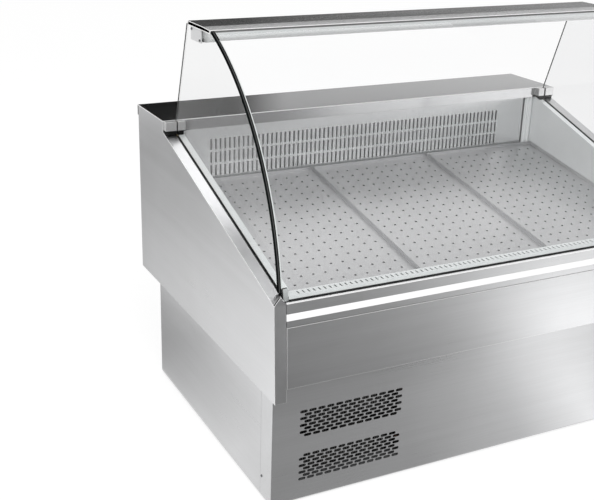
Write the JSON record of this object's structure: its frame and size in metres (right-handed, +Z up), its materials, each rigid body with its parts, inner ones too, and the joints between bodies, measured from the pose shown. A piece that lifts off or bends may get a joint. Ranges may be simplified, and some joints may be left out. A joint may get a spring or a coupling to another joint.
{
  "type": "refrigerated fish counter",
  "caption": "Free-standing refrigerated serve-over counter with curved tip-forward front glass, flat end panes, sloped steel display well, lamp bar and rear worktop.",
  "frame": {"origin": "floor level under the centre of the counter's bounding box", "axes": "+X along the counter to the customer's right, +Y towards the operator's side, +Z up"},
  "size_m": [1.5, 1.066, 1.28],
  "materials": {
    "steel": "satin",
    "dark_steel": "satin",
    "white_plastic": "satin",
    "glass": "gloss",
    "seal": "matte",
    "opal": "satin",
    "frame_paint": "satin",
    "black_plastic": "satin",
    "foam": "matte",
    "fins": "satin",
    "motor_paint": "satin",
    "copper": "satin",
    "grey_plastic": "satin",
    "profile": "satin",
    "board": "matte",
    "control_plate": "satin",
    "window": "gloss",
    "switch_plastic": "gloss"
  },
  "bodies": {
    "cabinet": {"end_panel_left": "steel", "end_panel_right": "steel", "front_apron": "steel", "front_rail": "steel", "bumper_strip": "white_plastic", "plinth_front_panel": "steel", "plinth_side_left": "steel", "plinth_side_right": "steel", "panel_screws": "dark_steel", "worktop": "steel", "end_glass_left": "glass", "end_glass_right": "glass", "end_glass_seals": "seal", "glass_clamps": "dark_steel", "top_bar": "steel", "lamp_brackets": "steel", "bracket_bolts": "dark_steel", "lamp_diffuser": "opal", "air_grille": "steel", "corner_cover": "steel", "tub_liner": "steel", "base_frame": "frame_paint", "levelling_feet": "dark_steel", "plinth_rear_panel": "steel", "mains_gland": "black_plastic", "body_floor_pan": "steel", "insulation": "foam", "rear_panel": "steel", "tray_supports": "steel", "return_grille": "steel", "evaporator_coil": "fins", "fan_plate": "steel", "evaporator_motors": "motor_paint", "unit_base_plate": "frame_paint", "compressor": "motor_paint", "condenser_coil": "fins", "condenser_shroud": "frame_paint", "condenser_motor": "motor_paint", "suction_line": "copper", "liquid_line": "copper", "discharge_line": "copper", "drain_outlet": "steel", "drain_pipe": "grey_plastic", "hinge_blocks": "profile", "lamp_housing": "profile", "lamp_board": "board", "control_panel": "control_plate", "thermometer_window": "window"},
    "glass_leaf": {"front_glass": "glass", "glass_foot_profile": "profile", "glass_foot_seal": "seal"},
    "tray_left": {"display_tray_left": "steel"},
    "tray_middle": {"display_tray_middle": "steel"},
    "tray_right": {"display_tray_right": "steel"},
    "air_fan_left": {"evaporator_fan_left": "black_plastic"},
    "air_fan_right": {"evaporator_fan_right": "black_plastic"},
    "unit_fan": {"condenser_fan": "black_plastic"},
    "knob": {"thermostat_knob": "black_plastic"},
    "main_rocker": {"main_switch": "switch_plastic"},
    "light_rocker": {"light_switch": "switch_plastic"}
  },
  "joints": [
    {"name": "front_glass_tilt", "type": "hinge", "parent": "cabinet", "child": "glass_leaf", "pos_m": [0, -0.482, 0.628], "axis": [1, 0, 0], "range_deg": [0, 30]},
    {"name": "tray_left_lift", "type": "slide", "parent": "cabinet", "child": "tray_left", "axis": [0, 0, 1], "range_m": [0, 0.12]},
    {"name": "tray_middle_lift", "type": "slide", "parent": "cabinet", "child": "tray_middle", "axis": [0, 0, 1], "range_m": [0, 0.12]},
    {"name": "tray_right_lift", "type": "slide", "parent": "cabinet", "child": "tray_right", "axis": [0, 0, 1], "range_m": [0, 0.12]},
    {"name": "air_fan_left_spin", "type": "hinge", "parent": "cabinet", "child": "air_fan_left", "pos_m": [-0.26, 0.295, 0.6], "axis": [0, 1, 0], "continuous": true},
    {"name": "air_fan_right_spin", "type": "hinge", "parent": "cabinet", "child": "air_fan_right", "pos_m": [0.26, 0.295, 0.6], "axis": [0, 1, 0], "continuous": true},
    {"name": "unit_fan_spin", "type": "hinge", "parent": "cabinet", "child": "unit_fan", "pos_m": [-0.447, -0.311, 0.187], "axis": [0, 1, 0], "continuous": true},
    {"name": "thermostat_turn", "type": "hinge", "parent": "cabinet", "child": "knob", "pos_m": [0.402, 0.5125, 0.845], "axis": [0, 1, 0], "range_deg": [0, 270]},
    {"name": "main_switch_rock", "type": "hinge", "parent": "cabinet", "child": "main_rocker", "pos_m": [0.524, 0.5065, 0.845], "axis": [1, 0, 0], "range_deg": [0, 16]},
    {"name": "light_switch_rock", "type": "hinge", "parent": "cabinet", "child": "light_rocker", "pos_m": [0.552, 0.5065, 0.845], "axis": [1, 0, 0], "range_deg": [0, 16]}
  ]
}
